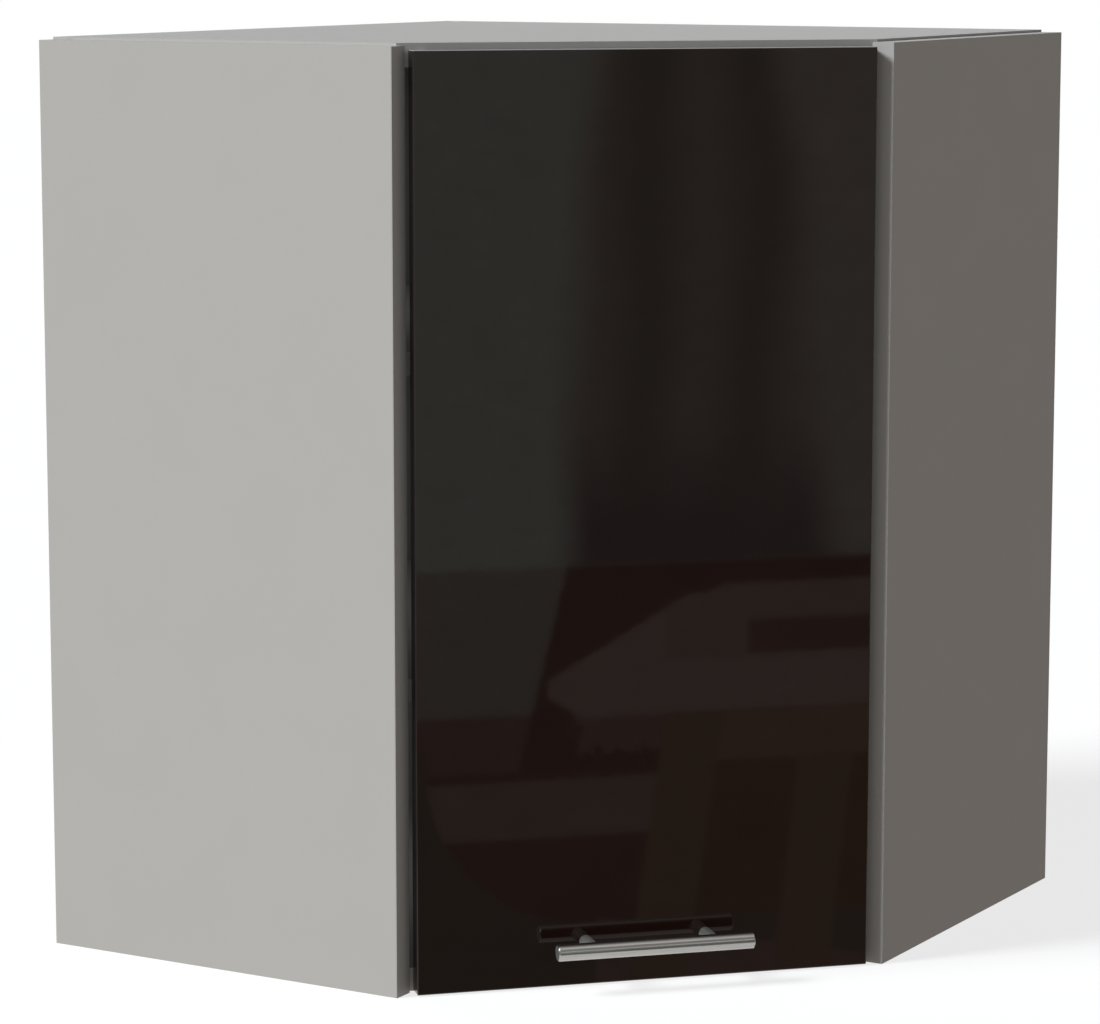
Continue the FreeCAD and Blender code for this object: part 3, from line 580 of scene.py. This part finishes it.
def front_card():
    shader = Shader("card")
    across = shader.place(0)
    height = shader.place(2)

    def leaning(lean, level):
        """Across, as if a line that leans by lean at heights above level stood upright."""
        above = shader.math("SUBTRACT", height, level)
        return shader.math("SUBTRACT", across, shader.math("MULTIPLY", above, lean))

    def beyond(value, limit, soft=CARD_SOFT):
        return shader.smooth(value, limit - soft, limit + soft)

    def between(value, low, high):
        return shader.math("SUBTRACT", beyond(value, low), beyond(value, high))

    def below(level, rise=0.0, start=0.0):
        """1 under a line at this level, which climbs by rise to the right of start."""
        line = shader.math("MULTIPLY", shader.math("SUBTRACT", across, start), rise)
        return shader.inverse(beyond(shader.math("SUBTRACT", height, line), level))

    def square(value):
        return shader.math("MULTIPLY", value, value)

    wander = shader.vary(shader.noise(0.5, detail=1.0), -FOLD_WANDER, FOLD_WANDER)
    phase = shader.math("MULTIPLY", shader.math("ADD", across, wander), 2 * math.pi / FOLD_PITCH)
    fold = shader.spread(shader.math("SINE", phase), -1.0, 1.0)
    upper_folds = shader.mix(fold, FOLD_DARK, FOLD_LIGHT)
    folds = shader.mix(shader.smooth(height, *FOLD_LOW_SPAN), FOLD_LOW, upper_folds)
    left_edge = shader.math("ADD", wander, leaning(FOLDS_LEAN_LEFT, FOLDS_START_LEVEL))
    right_edge = shader.math("ADD", wander, leaning(FOLDS_LEAN_RIGHT, FOLDS_END_LEVEL))
    picture = shader.mix(beyond(left_edge, FOLDS_START, FOLDS_SOFT), FIELD, folds)
    picture = shader.mix(beyond(right_edge, FOLDS_END, FOLDS_SOFT), picture, FIELD_RIGHT)
    picture = shader.mix(beyond(height, FIELD_STRIP_FOOT), picture, FIELD_STRIP)
    picture = shader.mix(beyond(height, FIELD_STRIP_TOP), picture, FIELD_HIGH)

    past_centre = [shader.math("MAXIMUM", shader.math("SUBTRACT", centre, place), 0.0)
                   for place, centre in zip((across, height), OVAL_CENTRE)]
    shares = [square(shader.math("DIVIDE", gap, size)) for gap, size in zip(past_centre, OVAL_SIZE)]
    off_oval = shader.smooth(shader.math("ADD", *shares), *OVAL_EDGE)
    right_of_folds = beyond(leaning(FOLDS_FOOT_LEAN, FOLDS_FOOT_LEVEL), FOLDS_FOOT_START)
    past_slab_front = shader.inverse(below(SLAB_FRONT_TOP, SLAB_FRONT_RISE, SLAB_START))
    heap = (beyond(across, HEAP_START), below(HEAP_TOP), below(HEAP_SLOPE_TOP, HEAP_SLOPE_RISE, HEAP_START),
            between(height, *HEAP_SPAN))
    tufts = shader.vary(shader.noise(0.02, detail=4.0, roughness=0.75), -FRAY_REACH, FRAY_REACH)
    frayed_height = shader.math("ADD", height, tufts)
    frayed_side = shader.math("ADD", leaning(FRAY_LEAN, FRAY_LEVEL), tufts)
    layers = [
        (FIELD_FOOT, below(FIELD_FOOT_TOP)),
        (LOW_BACK, below(LOW_BACK_TOP)),
        (OVAL_DIM, below(OVAL_DIM_TOP)),
        (OVAL_PALE, between(height, *OVAL_PALE_SPAN)),
        (LOW_FRONT, below(LOW_FRONT_TOP), off_oval),
        (LOW_RIGHT, below(LOW_RIGHT_TOP, LOW_RIGHT_RISE, LOW_RIGHT_START), beyond(across, LOW_RIGHT_START)),
        (FOLDS_FOOT, between(height, *FOLDS_FOOT_SPAN), right_of_folds),
        (UNDER_SLAB, between(height, *UNDER_SLAB_SPAN), beyond(across, HEAP_START)),
        (FRAY, between(frayed_height, *FRAY_SPAN), between(frayed_side, FRAY_START, HEAP_START)),
        (SLAB, below(SLAB_REAR_TOP, SLAB_REAR_RISE, SLAB_REAR_START), between(height, *SLAB_SPAN),
         beyond(across, SLAB_START), past_slab_front),
        (HEAP, *heap),
        (HEAP_SHADE, *heap, between(height, *HEAP_SHADE_SPAN), beyond(across, HEAP_SHADE_START)),
        (SLAB_EDGE, between(height, SLAB_EDGE_FOOT, NEAR_LEG_TOP), beyond(across, SLAB_EDGE_START)),
        (LEG, below(NEAR_LEG_TOP), between(leaning(NEAR_LEG_LEAN, NEAR_LEG_LEVEL), *NEAR_LEG_SIDES)),
        (LEG, below(FAR_LEG_TOP), between(leaning(FAR_LEG_LEAN, FAR_LEG_LEVEL), *FAR_LEG_SIDES)),
    ]
    for tone, share, *more_shares in layers:
        for next_share in more_shares:
            share = shader.math("MULTIPLY", share, next_share)
        picture = shader.mix(share, picture, tone)
    patches = shader.noise(0.05, detail=3.0, roughness=0.6, vector=shader.scaled((1.0, 1.0, 2.0)))
    return shader.show(shader.emission(shader.tint(picture, shader.vary(patches, 0.93, 1.07))))


def ceiling_card():
    shader = Shader("ceiling")
    back = shader.smooth(shader.place(1), CEILING_FRONT_END - CEILING_SOFT, CEILING_FRONT_END + CEILING_SOFT)
    return shader.show(shader.emission(shader.mix(back, CEILING_FRONT, CEILING_BACK)))


def side_card():
    shader = Shader("wing")
    patches = shader.vary(shader.noise(0.6, detail=2.0), 0.9, 1.1)
    return shader.show(shader.emission(shader.tint(FIELD_HIGH, patches)))


def upright_rectangle(name, start, end, material):
    """As high as the cards, over the line between two places (x, y)."""
    corners = [(*start, CARD_FOOT), (*end, CARD_FOOT), (*end, CARD_TOP), (*start, CARD_TOP)]
    return rectangle(name, corners, material)


front_left = (-CARD_HALF_WIDTH, -CARD_DISTANCE)
front_right = (CARD_HALF_WIDTH, -CARD_DISTANCE)
back_left = (-CARD_HALF_WIDTH, CEILING_BACK_END)
back_right = (CARD_HALF_WIDTH, CEILING_BACK_END)
side_tone = side_card()
cards = [
    upright_rectangle("left_wing", back_left, front_left, side_tone),
    upright_rectangle("right_wing", front_right, back_right, side_tone),
    upright_rectangle("card", front_left, front_right, front_card()),
    level_rectangle("ceiling", CARD_HALF_WIDTH, -CARD_DISTANCE, CEILING_BACK_END, CARD_TOP, ceiling_card()),
]
for card in cards:
    card.visible_camera = False
    card.visible_diffuse = False
    card.visible_shadow = False
    card.visible_transmission = False

# ---------------------------------------------------------------- lamps
# Key lamp: broad, far off on the left and above, almost in the door's plane.
KEY_DIRECTION = Vector((-0.94, -0.06, 0.76)).normalized()
KEY_COLOUR = (0.965, 1.0, 1.015)
KEY_LEVEL = 1.23
KEY_ANGLE = 18.0

key_lamp = bpy.data.lights.new("key", "SUN")
key_lamp.color = KEY_COLOUR
key_lamp.energy = KEY_LEVEL * math.pi
key_lamp.angle = math.radians(KEY_ANGLE)
key = bpy.data.objects.new("key", key_lamp)
key.rotation_euler = KEY_DIRECTION.to_track_quat("Z", "Y").to_euler()
bpy.context.scene.collection.objects.link(key)

# Weak lamps under the boards of the three compartments, so the slit beside the closed door isn't black.
FILL_WATTS = 0.08
FILL_SIZE = 0.36
FILL_DEPTH = -0.36                    # y, in front of the room corner
FILL_DROP = 2 * MM

for board_box in (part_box("lower_shelf"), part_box("upper_shelf"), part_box("top_panel")):
    fill_lamp = bpy.data.lights.new("fill", "AREA")
    fill_lamp.shape = "DISK"
    fill_lamp.size = FILL_SIZE
    fill_lamp.energy = FILL_WATTS
    fill = bpy.data.objects.new("fill", fill_lamp)
    fill.location = (0, FILL_DEPTH, board_box[0].z - FILL_DROP)
    fill.visible_camera = False
    fill.visible_glossy = False
    bpy.context.scene.collection.objects.link(fill)

# ---------------------------------------------------------------- camera
CAMERA_PLACE = (-0.8127, -3.4645, 0.8089)
CAMERA_YAW = 14.708                   # degrees to the right of +Y
CAMERA_PITCH = 8.589                  # degrees downwards
FOCAL_PIXELS = 3893.5
IMAGE_WIDTH = 1100
SENSOR_WIDTH = 36.0
SIGHT_END = 60

lens = bpy.data.cameras.new("camera")
lens.sensor_fit = "HORIZONTAL"
lens.sensor_width = SENSOR_WIDTH
lens.lens = FOCAL_PIXELS / IMAGE_WIDTH * SENSOR_WIDTH
lens.clip_end = SIGHT_END
camera = bpy.data.objects.new("camera", lens)
camera.location = CAMERA_PLACE
camera.rotation_euler = (math.radians(90 - CAMERA_PITCH), 0, math.radians(-CAMERA_YAW))
bpy.context.scene.collection.objects.link(camera)
bpy.context.scene.camera = camera

bpy.context.scene.view_settings.view_transform = "Standard"
